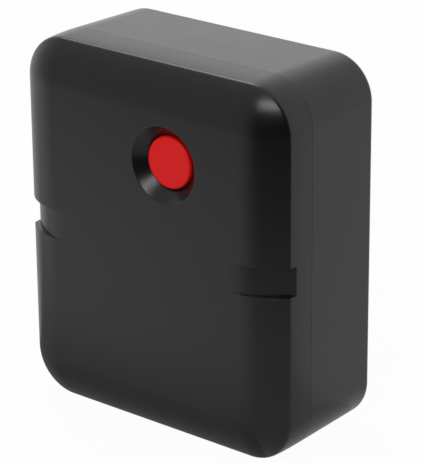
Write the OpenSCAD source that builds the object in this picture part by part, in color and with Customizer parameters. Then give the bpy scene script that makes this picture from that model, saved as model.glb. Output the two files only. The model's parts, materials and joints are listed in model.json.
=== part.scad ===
// Battery-powered GPS tracker: a two-part moulded housing with a round push button and two strap
// notches, holding a main board with its antennas, a sprung key switch and three lithium cells.
//
// Every piece is modelled lying on its back on a bench: x to the right, y up the height of the
// front face, z out of the front face. stand() then turns it upright, with the front towards -Y,
// +Z up and the origin under the middle of the base.

/* [Housing] */
// Width of the housing
body_w = 63.4; // [53:0.1:80]
// Height of the housing
body_h = 75; // [62:0.5:95]
// Depth from the front face to the back face
body_d = 30.5; // [25.5:0.5:37]
// Corner radius seen from the front
corner_r = 9.2; // [8.6:0.1:10]
// Radius of the rounded edge round the front face
edge_r = 12.15; // [11.6:0.05:14]
// Depth of the front cover's side wall, from its crease to the parting line
rim_d = 6.2; // [5.9:0.1:6.9]
// Wall thickness
wall = 2; // [1.7:0.1:2.2]
// How far the rear housing draws in at its back, on both sides and the top
back_inset = 0.7; // [0:0.1:1.2]
// Radius of the rounded edge round the back face
back_round = 1.2; // [0.4:0.1:1.5]
// Width of the open line between the two halves
parting_gap = 0.16; // [0.1:0.02:0.3]
// How deep the open line goes
parting_depth = 0.6; // [0.3:0.1:1]

/* [Strap notches] */
// Height of the notches' middle above the middle of the side
notch_rise = 0.5; // [-2:0.1:1]
// Height of a notch, the widest strap that it takes
notch_h = 5.8; // [4:0.1:6.2]
// How far in from the side the straight end of the notch floor would meet the front face
notch_inset = 4.9; // [3.5:0.1:6.5]
// How far behind the front face the notch floor meets the side wall
notch_drop = 5.9; // [4.5:0.1:7.2]
// Radius of the arc that carries the notch floor round into the front face
notch_blend_r = 13.5; // [8:0.5:17.5]

/* [Push button] */
// Distance of the button's axis from the middle of the front, to the right
button_x = 5.1; // [3:0.1:8]
// Distance of the button's axis below the top
button_drop = 18.7; // [16:0.1:21]
// Radius of the conical recess at the front face
recess_r = 7.6; // [7:0.1:8]
// Depth of the conical recess, whose wall slopes at 45 degrees
recess_d = 2.3; // [2.1:0.05:2.5]
// Gap between the cap and its bore
button_gap = 0.15; // [0.08:0.01:0.3]
// How far the cap's face sits below the front face
cap_sink = 1.55; // [1.2:0.05:1.9]
// Rounding of the cap's rim
cap_round = 0.55; // [0.2:0.05:0.8]
// How far the button moves when it is pressed
button_travel = 0.5; // [0.2:0.05:0.5]
// Length of the bore that guides the cap
guide_l = 1.8; // [1.7:0.1:2]

/* [Lithium cells] */
// Gap between the cells and the rear side of the board
cell_board_gap = 0.8; // [0.5:0.1:2]
// Distance of the tray's upper end below the top, the room for the capacitor and the plug
tray_drop = 22.5; // [22:0.5:30]
// Gap between the tray's sides and the back corners of the housing
tray_side_gap = 1.6; // [1:0.1:2]

/* [Main board] */
// Gap between the board's side edges and the walls
board_side_gap = 2.9; // [2.6:0.1:3.4]
// Gap between the board's upper and lower edges and the walls
board_end_gap = 2.8; // [2.6:0.1:3]
// Thickness of the board
board_t = 1.6; // [1:0.1:1.6]

/* [Case screws] */
// Distance of the screw axes from the side, top and base
screw_inset = 6.8; // [6.6:0.1:7]
// Radius of the screw thread
screw_r = 1.5; // [1.25:0.05:1.5]
// Radius of the bosses round the screws
boss_r = 4; // [3.9:0.1:4.1]

/* [Hidden] */

// Smoothness of round shapes, and steps in a quarter turn of a lofted corner and of a rounded edge
$fn = 96;
corner_steps = 14;
back_steps = 4;
round_steps = 8;
// How far a cut runs past the surface that it opens
overrun = 1;
// Running clearance of a guided piece, and seating clearance of a piece in its pocket
run_gap = 0.02;
seat_gap = 0.3;

// Levels above the middle of the depth, front up
z_front = body_d / 2;
z_back = -body_d / 2;
crease_d = edge_r - sqrt(edge_r * edge_r - corner_r * corner_r);
seam_d = crease_d + rim_d;
z_seam = z_front - seam_d;
notch_low = body_h / 2 + notch_rise - notch_h / 2;
button_h = body_h - button_drop;

// Lands along the parting line, and the gasket between them
land_w = 4.4;
cover_land_t = 2.2;
housing_land_t = 3;
gasket_inset = 1.75;
gasket_w = 1.5;
gasket_t = 1.5;

// Case screws, from the back face
head_r = 2.8;
head_t = 2.2;
head_sink = 0.6;
washer_t = 0.6;
washer_r = 2.7;
counterbore_r = 3.1;
shank_gap = 0.25;
cross_w = 0.8;
cross_l = 3.2;
cross_d = 1.3;
insert_r = 2.1;
insert_l = 5;
screw_tip = 6;
tip_gap = 0.6;
z_washer = z_back + head_sink + head_t + washer_t;
screw_x = body_w / 2 - screw_inset;
screw_places = [for (x = [-screw_x, screw_x]) for (y = [screw_inset, body_h - screw_inset]) [x, y]];

// Board posts and their tapping screws
post_inset = 8.4;
post_x = screw_x - post_inset;
post_rise = 2.8;
post_drop = 5.7;
post_r = 2.3;
tapping_r = 1;
tapping_l = 4;
tapping_depth = 4.5;
tapping_head_r = 1.9;
tapping_head_t = 1.2;
tapping_slot_w = 0.5;
tapping_slot_d = 0.5;
board_hole_gap = 0.2;
board_corner_gap = 0.5;
board_w = body_w - 2 * (wall + board_side_gap);
board_h = body_h - 2 * (wall + board_end_gap);
board_low = wall + board_end_gap;
board_top = board_low + board_h;
post_places = [for (x = [-post_x, post_x]) for (y = [board_low + post_rise, board_top - post_drop]) [x, y]];

// Button cap
bore_r = recess_r - recess_d;
cap_r = bore_r - button_gap;
collar_wall = 1.5;
z_guide = z_front - recess_d - guide_l;
flange_t = 0.7;
flange_over = 1;
cap_top_t = 1.2;
skirt_wall = 0.8;
seal_slot = 1;
seal_slot_depth = 0.75;
pusher_r = 1.5;
seal_wire_r = (bore_r - run_gap - cap_r + seal_slot_depth) / 2;

// Key switch under the cap, which carries the board at its own depth
switch_w = 6;
switch_base_t = 1.6;
switch_plate_t = 0.3;
plunger_r = 1.7;
plunger_foot_r = 2.2;
plunger_foot_t = 0.5;
plunger_out = 0.8;
well_gap = 0.15;
well_depth = plunger_foot_t + button_travel + well_gap;
leg_w = 0.8;
leg_t = 0.2;
leg_out = 1;
leg_pitch = 4.4;
press_gap = 0.4;
board_sink = recess_d + guide_l + flange_t + button_travel + press_gap + switch_plate_t + switch_base_t;
z_board = z_front - board_sink;
z_board_back = z_board - board_t;

// Cellular antenna, along the lower edge of the board above its posts
carrier_inset = 9.3;
carrier_w = board_w - 2 * carrier_inset;
carrier_h = 7;
carrier_t = 3;
carrier_y = board_low + post_rise + post_r + seat_gap + carrier_h / 2;
carrier_top = carrier_y + carrier_h / 2;
element_t = 0.2;
element_slot_w = 1.2;
element_slot_count = 5;

// Satellite antenna, beside the collar that guides the button
patch_w = 15;
patch_t = 4;
patch_gap = 1.4;
patch_x = button_x - recess_r - collar_wall - patch_gap - patch_w / 2;
patch_y = board_top - post_drop - post_r - seat_gap - patch_w / 2;
electrode_border = 2;
electrode_w = patch_w - 2 * electrode_border;
electrode_t = 0.1;
electrode_trim = 1.8;
feed_r = 0.6;
feed_x = 2;

// Cellular module, midway between the two antennas
module_w = 16;
module_h = 10.6;
module_base_t = 0.8;
module_edge = 3;
module_x = module_edge + module_w / 2 - board_w / 2;
module_y = (carrier_top + patch_y - patch_w / 2) / 2;
shield_t = 1.5;
shield_wall = 0.2;
shield_border = 0.8;
shield_w = module_w - 2 * shield_border;
shield_h = module_h - 2 * shield_border;

// Processor and satellite receiver, at their shares of the way from the antenna up to the switch
middle_room = button_h - switch_w / 2 - carrier_top;
processor_w = 7;
processor_t = 0.9;
processor_x = 1.6;
processor_share = 0.24;
processor_y = carrier_top + processor_share * middle_room;
receiver_w = 9.6;
receiver_h = 10.1;
receiver_t = 2.2;
receiver_x = 5;
receiver_share = 0.7;
receiver_y = carrier_top + receiver_share * middle_room;

// SIM holder and card, at the board's right above the antenna
card_w = 8.8;
card_h = 12.3;
card_t = 0.67;
card_out = 1.2;
card_chamfer = 1.7;
sim_border = 0.8;
sim_w = card_w + 2 * sim_border;
sim_h = card_h;
sim_t = 1.4;
sim_wall = 0.3;
sim_stop = 0.8;
sim_edge = 3.5;
sim_x = board_w / 2 - sim_edge - sim_w / 2;
sim_rise = 3;
sim_y = carrier_top + sim_rise + sim_h / 2;

// Small components at the top of the board's front side
top_row_drop = 4.2;
top_row_x = 5;
sensor_w = 3;
sensor_t = 1;
memory_w = 6;
memory_h = 5;
memory_t = 0.8;
inductor_w = 5;
inductor_t = 2;
inductor_edge = 4.3;
inductor_drop = 16;
inductor_x = board_w / 2 - inductor_edge;
inductor_y = board_top - inductor_drop;
inductor_round = 0.8;

// Capacitor and battery socket on the board's rear side
capacitor_r = 4.2;
capacitor_l = 11;
capacitor_gap = 0.05;
capacitor_rise = 1;
capacitor_crimp = 0.5;
capacitor_lead_r = 0.3;
capacitor_lead_out = 1.5;
capacitor_side_gap = 0.5;
socket_w = 8;
socket_l = 5.6;
socket_t = 4.2;
socket_wall = 0.6;
socket_x = 4.6;
plug_l = 5;
capacitor_end = socket_x - socket_w / 2 - capacitor_side_gap - capacitor_lead_r - capacitor_lead_out;

// Battery tray. Its cells fill the depth behind the board and the height below the plug, and as many lie
// side by side as the width takes.
tray_base_t = 1.1;
tray_side_t = 1;
tray_end_t = 1.8;
tray_side_rise = 2;
cell_gap = 0.3;
contact_room = 1.5;
tape_t = 0.4;
tape_inset = 7;
nub_r = 3.2;
nub_l = 1;
cell_round = 0.6;
contact_w = 8;
contact_h = 9;
contact_t = 0.4;
leaf_w = 5;
lead_r = 0.6;
lead_pitch = 2;
lead_bend_r = 2;
lead_entry = 0.8;
z_tray = z_back + wall + tape_t;
cell_d = z_board_back - cell_board_gap - z_tray - tray_base_t;
z_cell = z_tray + tray_base_t + cell_d / 2;
tray_room = body_w - 2 * (wall + back_inset + tray_side_gap + tray_side_t);
cell_count = floor(tray_room / (cell_d + cell_gap));
tray_low = screw_inset + boss_r + seat_gap * 2;
tray_top = body_h - tray_drop;
tray_inner_w = cell_count * (cell_d + cell_gap);
tray_w = tray_inner_w + 2 * tray_side_t;
tray_h = tray_top - tray_low;
tray_inner_h = tray_h - 2 * tray_end_t;
cell_l = tray_inner_h - 2 * contact_room;
cell_low = tray_low + tray_end_t + contact_room;
cell_places = [for (i = [0:cell_count - 1]) (i - (cell_count - 1) / 2) * (cell_d + cell_gap)];
z_lead_high = z_board_back - socket_t / 2;
z_lead_low = z_cell;
plug_low = tray_top + 2 * lead_bend_r + 2 * lead_entry;
lead_xs = [socket_x - lead_pitch / 2, socket_x + lead_pitch / 2];
capacitor_y = tray_top + capacitor_rise + capacitor_r;

// Colours
black_plastic = "#1b1c1e";
inner_plastic = "#26282b";
red_plastic = "#c4161c";
silicone = "#3a3d42";
steel = "#b8babd";
gold = "#c9a24a";
laminate = "#1e5b3a";
ceramic = "#d8cdb4";
chip_black = "#202124";
cell_wrap = "#2d5fa8";

// Turns a piece that lies on its back upright
module stand() {
    rotate([90, 0, 0]) children();
}

// Sweeps a section round the rounded rectangle of the housing.
// The section's x runs outwards from the corner axes, its y is the level.
module frame_sweep() {
    run_x = body_w - 2 * corner_r;
    run_y = body_h - 2 * corner_r;
    translate([0, body_h / 2, 0])
        for (side = [0:3])
            rotate([0, 0, 90 * side])
                translate([side % 2 == 0 ? run_x / 2 : run_y / 2, (side % 2 == 0 ? run_y : run_x) / 2, 0]) {
                    rotate([90, 0, 0])
                        linear_extrude(height = side % 2 == 0 ? run_y : run_x) children();
                    rotate_extrude(angle = 90) children();
                }
}

// The block inside the corner axes
module middle_block(low, high) {
    translate([corner_r - body_w / 2, corner_r, low])
        cube([body_w - 2 * corner_r, body_h - 2 * corner_r, high - low]);
}

// A rounded block, this far inside the housing's outline
module rounded_block(inset, low, high) {
    middle_block(low, high);
    frame_sweep()
        translate([0, low]) square([corner_r - inset, high - low]);
}

// A ring along the outline, from one inset to another
module outline_ring(outer_inset, inner_inset, low, high) {
    frame_sweep()
        translate([corner_r - inner_inset, low]) square([inner_inset - outer_inset, high - low]);
}

// The dished form of the front cover, this far inside its outer surface
module dished_form(inset, depth) {
    middle_block(z_front - depth, z_front - inset);
    frame_sweep()
        intersection() {
            translate([0, z_front - depth]) square([corner_r - inset, depth - inset]);
            translate([0, z_front - edge_r]) circle(r = edge_r - inset);
        }
}

// Outline of the rear housing at a level: its sides and top draw in, its base stays flat
function draw_in(level) = back_inset * (z_seam - level) / (z_seam - z_back);
function corner_arc(x, y, r, start, level) =
    [for (i = [0:corner_steps]) let (a = start + 90 * i / corner_steps)
        [x + r * cos(a), y + r * sin(a), level]];
function outline(inset, level) =
    let (side = inset + draw_in(level), r = corner_r - side, x = body_w / 2 - side - r)
    concat(
        corner_arc(x, body_h - side - r, r, 0, level),
        corner_arc(-x, body_h - side - r, r, 90, level),
        corner_arc(-x, inset + r, r, 180, level),
        corner_arc(x, inset + r, r, 270, level));

// The tapered form of the rear housing, this far inside its outer surface, with a rounded back edge
module tapered_form(inset, low, high, round_r) {
    steps = round_r > 0 ? back_steps : 0;
    rings = concat(
        [for (i = [0:steps]) let (a = steps > 0 ? 90 * i / steps : 90)
            outline(inset + round_r * (1 - sin(a)), low + round_r * (1 - cos(a)))],
        [outline(inset, high)]);
    n = len(rings[0]);
    polyhedron(
        points = [for (ring = rings) each ring],
        faces = concat(
            [[for (i = [0:n - 1]) i]],
            [[for (i = [0:n - 1]) n * len(rings) - 1 - i]],
            [for (k = [0:len(rings) - 2]) for (i = [0:n - 1])
                [k * n + i, (k + 1) * n + i, (k + 1) * n + (i + 1) % n, k * n + (i + 1) % n]]));
}

// What lies outside the floor of the strap notches, moved inwards by an offset, at both sides
module notch_prisms(offset, low, high) {
    slope = atan(notch_drop / notch_inset);
    centre = notch_inset + notch_blend_r * tan(slope / 2);
    r = notch_blend_r - offset;
    end_in = centre - r * sin(slope);
    end_down = notch_blend_r - r * cos(slope);
    section = concat(
        [[-overrun, -overrun], [centre, -overrun]],
        [for (i = [0:round_steps]) let (a = slope * i / round_steps)
            [centre - r * sin(a), notch_blend_r - r * cos(a)]],
        [[-overrun, end_down + (end_in + overrun) * tan(slope)]]);
    for (s = [-1, 1])
        translate([0, high, 0]) rotate([90, 0, 0])
            linear_extrude(height = high - low)
                polygon([for (p = section) [s * (body_w / 2 - p[0]), z_front - p[1]]]);
}

// Cylinders at a list of places
module pegs(places, r, low, high) {
    for (p = places)
        translate([p[0], p[1], low]) cylinder(r = r, h = high - low);
}

// A flat block centred on a place, standing on the board's front side
module board_block(x, y, w, h, t) {
    translate([x - w / 2, y - h / 2, z_board]) cube([w, h, t]);
}

module front_cover() {
    color(black_plastic) stand()
        difference() {
            dished_form(0, seam_d);
            // The hollow, less what stands in it
            difference() {
                union() {
                    dished_form(wall, seam_d - cover_land_t);
                    rounded_block(land_w, z_seam - overrun, z_seam + cover_land_t + overrun);
                }
                pegs(screw_places, boss_r, z_seam - 2 * overrun, z_front);
                pegs(post_places, post_r, z_board, z_front);
                translate([button_x, button_h, z_guide]) cylinder(r = recess_r + collar_wall, h = body_d);
                notch_prisms(wall, notch_low - wall, notch_low + notch_h + wall);
            }
            // Outside: strap notches, button recess, parting line
            notch_prisms(0, notch_low, notch_low + notch_h);
            translate([button_x, button_h, z_front - recess_d])
                cylinder(r1 = bore_r, r2 = recess_r + overrun, h = recess_r + overrun - bore_r);
            translate([button_x, button_h, z_guide - overrun]) cylinder(r = bore_r, h = guide_l + recess_d);
            outline_ring(-overrun, parting_depth, z_seam - overrun, z_seam + parting_gap / 2);
            // Inside: inserts, room for the screw tips, tapping holes
            pegs(screw_places, insert_r, z_seam - overrun, z_seam + insert_l);
            pegs(screw_places, screw_r + shank_gap, z_seam, z_seam + screw_tip + tip_gap);
            pegs(post_places, tapping_r + run_gap, z_board - overrun, z_board + tapping_depth);
        }
}

module rear_housing() {
    color(black_plastic) stand()
        difference() {
            tapered_form(0, z_back, z_seam, back_round);
            // The hollow, less the screw bosses
            difference() {
                union() {
                    tapered_form(wall, z_back + wall, z_seam - housing_land_t, 0);
                    rounded_block(land_w, z_seam - housing_land_t - overrun, z_seam + overrun);
                }
                pegs(screw_places, boss_r, z_back, z_seam + 2 * overrun);
            }
            // Gasket groove and parting line
            outline_ring(gasket_inset - run_gap, gasket_inset + gasket_w + run_gap,
                z_seam - gasket_t, z_seam + overrun);
            outline_ring(-overrun, parting_depth, z_seam - parting_gap / 2, z_seam + overrun);
            // Screw holes
            pegs(screw_places, screw_r + shank_gap, z_back, z_seam + overrun);
            pegs(screw_places, counterbore_r, z_back - overrun, z_washer);
        }
}

module seam_gasket() {
    color(silicone) stand()
        outline_ring(gasket_inset, gasket_inset + gasket_w, z_seam - gasket_t, z_seam);
}

module button_cap() {
    z_face = z_front - cap_sink;
    z_foot = z_guide - flange_t;
    seal_low = z_guide + (guide_l - seal_slot) / 2;
    core_r = cap_r - seal_slot_depth;
    rim = [for (i = [0:round_steps]) let (a = 90 * i / round_steps)
        [cap_r - cap_round + cap_round * cos(a), z_face - cap_round + cap_round * sin(a)]];
    profile = concat(
        [[0, z_face - cap_top_t], [core_r - skirt_wall, z_face - cap_top_t],
            [core_r - skirt_wall, z_foot], [cap_r + flange_over, z_foot],
            [cap_r + flange_over, z_guide], [cap_r, z_guide], [cap_r, seal_low],
            [core_r, seal_low], [core_r, seal_low + seal_slot], [cap_r, seal_low + seal_slot]],
        rim,
        [[0, z_face]]);
    z_plunger = z_board + switch_base_t + switch_plate_t + plunger_out;
    color(red_plastic) stand()
        translate([button_x, button_h, 0]) {
            rotate_extrude() polygon(profile);
            translate([0, 0, z_plunger]) cylinder(r = pusher_r, h = z_face - cap_top_t / 2 - z_plunger);
        }
}

module button_o_ring() {
    color(silicone) stand()
        translate([button_x, button_h, z_guide + guide_l / 2])
            rotate_extrude()
                translate([cap_r - seal_slot_depth + seal_wire_r, 0]) circle(r = seal_wire_r, $fn = 24);
}

module switch_base() {
    color(chip_black) stand()
        difference() {
            board_block(button_x, button_h, switch_w, switch_w, switch_base_t);
            translate([button_x, button_h, z_board + switch_base_t - well_depth])
                cylinder(r = plunger_foot_r + well_gap, h = switch_base_t);
        }
}

module switch_cover_plate() {
    color(steel) stand()
        translate([0, 0, switch_base_t])
            difference() {
                board_block(button_x, button_h, switch_w, switch_w, switch_plate_t);
                translate([button_x, button_h, z_board - overrun])
                    cylinder(r = plunger_r + well_gap, h = switch_plate_t + 2 * overrun);
            }
}

module switch_plunger() {
    color(inner_plastic) stand()
        translate([button_x, button_h, z_board + switch_base_t - plunger_foot_t]) {
            cylinder(r = plunger_foot_r, h = plunger_foot_t);
            cylinder(r = plunger_r, h = plunger_foot_t + switch_plate_t + plunger_out);
        }
}

module switch_legs() {
    color(steel) stand()
        for (side = [-1, 1])
            for (y = [-leg_pitch / 2, leg_pitch / 2])
                translate([button_x, button_h + y, z_board])
                    rotate([0, 0, side < 0 ? 180 : 0])
                        translate([switch_w / 2, -leg_w / 2, 0]) {
                            cube([leg_out, leg_w, leg_t]);
                            cube([leg_t, leg_w, switch_base_t / 2]);
                        }
}

module main_board() {
    color(laminate) stand()
        difference() {
            translate([-board_w / 2, board_low, z_board_back]) cube([board_w, board_h, board_t]);
            pegs(screw_places, boss_r + board_corner_gap, z_board_back - overrun, z_board + overrun);
            pegs(post_places, tapping_r + board_hole_gap, z_board_back - overrun, z_board + overrun);
        }
}

module gnss_patch_antenna() {
    color(ceramic) stand()
        board_block(patch_x, patch_y, patch_w, patch_w, patch_t);
}

module gnss_patch_electrode() {
    color(steel) stand()
        translate([0, 0, patch_t]) {
            difference() {
                board_block(patch_x, patch_y, electrode_w, electrode_w, electrode_t);
                // Two trimmed corners set the polarisation
                for (s = [-1, 1])
                    translate([patch_x + s * electrode_w / 2, patch_y + s * electrode_w / 2, z_board])
                        rotate([0, 0, 45])
                            cube([electrode_trim, electrode_trim, 2 * overrun], center = true);
            }
            translate([patch_x + feed_x, patch_y, z_board])
                cylinder(r = feed_r, h = 2 * electrode_t);
        }
}

module gnss_receiver() {
    color(steel) stand()
        board_block(receiver_x, receiver_y, receiver_w, receiver_h, receiver_t);
}

module cellular_module() {
    color(laminate) stand()
        board_block(module_x, module_y, module_w, module_h, module_base_t);
}

module cellular_shield() {
    color(steel) stand()
        translate([0, 0, module_base_t])
            difference() {
                board_block(module_x, module_y, shield_w, shield_h, shield_t);
                translate([0, 0, -shield_wall])
                    board_block(module_x, module_y, shield_w - 2 * shield_wall,
                        shield_h - 2 * shield_wall, shield_t);
            }
}

module cellular_antenna_carrier() {
    color(inner_plastic) stand()
        board_block(0, carrier_y, carrier_w, carrier_h, carrier_t);
}

module cellular_antenna_element() {
    gap = carrier_w / (element_slot_count + 1);
    low = carrier_y - carrier_h / 2;
    color(gold) stand()
        difference() {
            union() {
                translate([0, 0, carrier_t])
                    board_block(0, carrier_y - element_t / 2, carrier_w, carrier_h + element_t, element_t);
                board_block(0, low - element_t / 2, carrier_w, element_t, carrier_t + element_t);
            }
            // Slots cut from the two long edges in turn make the strip wind back and forth
            for (i = [1:element_slot_count])
                translate([i * gap - carrier_w / 2 - element_slot_w / 2,
                    low + (i % 2 == 0 ? -overrun : carrier_h / 4), z_board - overrun])
                    cube([element_slot_w, carrier_h * 3 / 4 + overrun, carrier_t + 2 * overrun]);
        }
}

module sim_holder() {
    color(steel) stand()
        difference() {
            board_block(sim_x, sim_y, sim_w, sim_h, sim_t);
            translate([0, -sim_stop, sim_wall])
                board_block(sim_x, sim_y, card_w + 2 * run_gap, sim_h, card_t + 2 * run_gap);
        }
}

module sim_card() {
    low = sim_y - sim_h / 2 - card_out;
    left = sim_x - card_w / 2;
    high = low + card_h;
    color("#d9dbe0") stand()
        translate([0, 0, z_board + sim_wall + run_gap])
            linear_extrude(height = card_t)
                polygon([[left, low], [left + card_w, low], [left + card_w, high - card_chamfer],
                    [left + card_w - card_chamfer, high], [left, high]]);
}

module processor() {
    color(chip_black) stand()
        board_block(processor_x, processor_y, processor_w, processor_w, processor_t);
}

module motion_sensor() {
    color(chip_black) stand()
        board_block(-top_row_x, board_top - top_row_drop, sensor_w, sensor_w, sensor_t);
}

module memory_chip() {
    color(chip_black) stand()
        board_block(top_row_x, board_top - top_row_drop, memory_w, memory_h, memory_t);
}

module power_inductor() {
    color(inner_plastic) stand()
        intersection() {
            board_block(inductor_x, inductor_y, inductor_w, inductor_w, inductor_t);
            translate([inductor_x, inductor_y, z_board])
                cylinder(r = inductor_w * sqrt(2) / 2 - inductor_round, h = inductor_t);
        }
}

module buffer_capacitor() {
    z_axis = z_board_back - capacitor_gap - capacitor_r;
    color("#2b3a55") stand() {
        translate([capacitor_end - capacitor_l, capacitor_y, z_axis]) rotate([0, 90, 0])
            rotate_extrude()
                polygon([[0, 0], [capacitor_r, 0], [capacitor_r, capacitor_l - 4 * capacitor_crimp],
                    [capacitor_r - capacitor_crimp, capacitor_l - 3 * capacitor_crimp],
                    [capacitor_r, capacitor_l - 2 * capacitor_crimp], [capacitor_r, capacitor_l],
                    [0, capacitor_l]]);
        for (s = [-1, 1])
            translate([0, capacitor_y + s * capacitor_r / 2, 0]) {
                translate([capacitor_end - capacitor_lead_r, 0, z_axis]) rotate([0, 90, 0])
                    cylinder(r = capacitor_lead_r, h = capacitor_lead_out + 2 * capacitor_lead_r);
                translate([capacitor_end + capacitor_lead_out, 0, z_axis])
                    cylinder(r = capacitor_lead_r, h = z_board_back - z_axis);
            }
    }
}

module battery_socket() {
    low = plug_low + plug_l + socket_wall - socket_l;
    room_w = socket_w - 2 * socket_wall;
    color("#e8e6dd") stand()
        difference() {
            translate([socket_x - socket_w / 2, low, z_board_back - socket_t])
                cube([socket_w, socket_l, socket_t]);
            translate([socket_x - room_w / 2, low - overrun, z_board_back - socket_t + socket_wall])
                cube([room_w, socket_l - socket_wall + overrun, socket_t - 2 * socket_wall]);
        }
}

module battery_plug() {
    gap = socket_wall + run_gap;
    color("#e8e6dd") stand()
        translate([socket_x - socket_w / 2 + gap, plug_low, z_board_back - socket_t + gap])
            cube([socket_w - 2 * gap, plug_l, socket_t - 2 * gap]);
}

module battery_leads() {
    rise = z_lead_high - z_lead_low - 2 * lead_bend_r;
    color("#b3261e") stand()
        for (x = lead_xs)
            translate([x, tray_top, z_lead_low]) {
                rotate([-90, 0, 0]) cylinder(r = lead_r, h = lead_entry);
                translate([0, lead_entry, lead_bend_r]) rotate([0, 90, 0]) lead_bend();
                translate([0, lead_entry + lead_bend_r, lead_bend_r]) cylinder(r = lead_r, h = rise);
                translate([0, lead_entry + 2 * lead_bend_r, lead_bend_r + rise]) rotate([0, -90, 0])
                    rotate([0, 0, -90]) lead_bend();
                translate([0, lead_entry + 2 * lead_bend_r, 2 * lead_bend_r + rise])
                    rotate([-90, 0, 0]) cylinder(r = lead_r, h = lead_entry);
            }
}

// A quarter turn of a lead about the local z axis
module lead_bend() {
    rotate_extrude(angle = 90)
        translate([lead_bend_r, 0]) circle(r = lead_r, $fn = 32);
}

module battery_tray() {
    color(inner_plastic) stand()
        difference() {
            translate([-tray_w / 2, tray_low, z_tray])
                cube([tray_w, tray_h, z_cell + tray_side_rise - z_tray]);
            translate([-tray_inner_w / 2, tray_low + tray_end_t, z_tray + tray_base_t])
                cube([tray_inner_w, tray_inner_h, cell_d]);
            // Windows in the base, one under each cell
            for (x = cell_places)
                translate([x - cell_d / 4, cell_low + cell_l / 4, z_tray - overrun])
                    cube([cell_d / 2, cell_l / 2, tray_base_t + 2 * overrun]);
        }
}

module battery_tape() {
    color(silicone) stand()
        translate([tape_inset - tray_w / 2, tray_low + tape_inset, z_back + wall])
            cube([tray_w - 2 * tape_inset, tray_h - 2 * tape_inset, tape_t]);
}

module lithium_cells() {
    // Each cell lies the other way round from its neighbour, so that they join in series
    r = cell_d / 2;
    shoulder = cell_l - nub_l;
    color(cell_wrap) stand()
        for (i = [0:cell_count - 1])
            translate([cell_places[i], cell_low + (i % 2 == 0 ? 0 : cell_l), z_cell])
                rotate([i % 2 == 0 ? -90 : 90, 0, 0])
                    rotate_extrude()
                        polygon([[0, 0], [r - cell_round, 0], [r, cell_round], [r, shoulder - cell_round],
                            [r - cell_round, shoulder], [nub_r, shoulder], [nub_r, cell_l], [0, cell_l]]);
}

// Places a contact at the cell end that faces up the height, or at the other one
module at_cell_end(x, upper) {
    translate([x, upper ? tray_low + tray_end_t + tray_inner_h : tray_low + tray_end_t, z_cell])
        rotate([0, 0, upper ? 180 : 0]) children();
}

module cell_flat_contacts() {
    // A plate with a shallow dimple reaches each nub
    color(gold) stand()
        for (i = [0:cell_count - 1])
            at_cell_end(cell_places[i], i % 2 == 0) {
                translate([-contact_w / 2, 0, -contact_h / 2]) cube([contact_w, contact_t, contact_h]);
                rotate([-90, 0, 0]) cylinder(r = nub_r / 2, h = contact_room);
            }
}

module cell_spring_contacts() {
    // A folded leaf reaches each flat end
    leaf = [[0, -contact_h / 2], [contact_t, -contact_h / 2], [contact_t, contact_h / 4],
        [contact_room, 0], [contact_room, contact_t], [contact_t, contact_h / 2], [0, contact_h / 2]];
    color(gold) stand()
        for (i = [0:cell_count - 1])
            at_cell_end(cell_places[i], i % 2 == 1)
                translate([-leaf_w / 2, 0, 0]) rotate([90, 0, 90])
                    linear_extrude(height = leaf_w) polygon(leaf);
}

module board_screws() {
    color(steel) stand()
        difference() {
            union() {
                pegs(post_places, tapping_r, z_board_back - tapping_head_t / 2, z_board + tapping_l);
                pegs(post_places, tapping_head_r, z_board_back - tapping_head_t, z_board_back);
            }
            for (p = post_places)
                translate([p[0] - tapping_head_r, p[1] - tapping_slot_w / 2,
                    z_board_back - tapping_head_t - tapping_slot_d])
                    cube([2 * tapping_head_r, tapping_slot_w, 2 * tapping_slot_d]);
        }
}

module thread_inserts() {
    color(gold) stand()
        difference() {
            pegs(screw_places, insert_r, z_seam, z_seam + insert_l);
            pegs(screw_places, screw_r + run_gap, z_seam - overrun, z_seam + insert_l + overrun);
        }
}

module case_screws() {
    color(steel) stand()
        difference() {
            union() {
                pegs(screw_places, screw_r, z_back + head_sink + head_t / 2, z_seam + screw_tip);
                pegs(screw_places, head_r, z_back + head_sink, z_back + head_sink + head_t);
            }
            for (p = screw_places)
                translate([p[0], p[1], z_back + head_sink + cross_d / 2 - overrun / 2])
                    for (turn = [0, 90])
                        rotate([0, 0, turn])
                            cube([cross_l, cross_w, cross_d + overrun], center = true);
        }
}

module sealing_washers() {
    color(silicone) stand()
        difference() {
            pegs(screw_places, washer_r, z_washer - washer_t, z_washer);
            pegs(screw_places, screw_r + run_gap, z_washer - washer_t - overrun, z_washer + overrun);
        }
}

front_cover();
rear_housing();
seam_gasket();
button_cap();
button_o_ring();
switch_base();
switch_cover_plate();
switch_plunger();
switch_legs();
main_board();
gnss_patch_antenna();
gnss_patch_electrode();
gnss_receiver();
cellular_module();
cellular_shield();
cellular_antenna_carrier();
cellular_antenna_element();
sim_holder();
sim_card();
processor();
motion_sensor();
memory_chip();
power_inductor();
buffer_capacitor();
battery_socket();
battery_plug();
battery_leads();
battery_tray();
battery_tape();
lithium_cells();
cell_flat_contacts();
cell_spring_contacts();
board_screws();
thread_inserts();
case_screws();
sealing_washers();
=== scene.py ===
"""Looks of the battery-powered GPS tracker: a moulded black housing in two halves with a red push button.

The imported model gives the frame. The pieces that show are made again here as finished surfaces, with the
small moulded edges that catch the light, and every other piece gets the finish of its real material.
The tracker is worked out in millimetres and the studio in metres: x to the right, y to the back, z up,
with the origin under the middle of the base.
"""
import json
import logging
import math
from dataclasses import dataclass
from enum import Enum

import bmesh
import bpy
import numpy as np
from mathutils import Matrix, Vector


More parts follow.
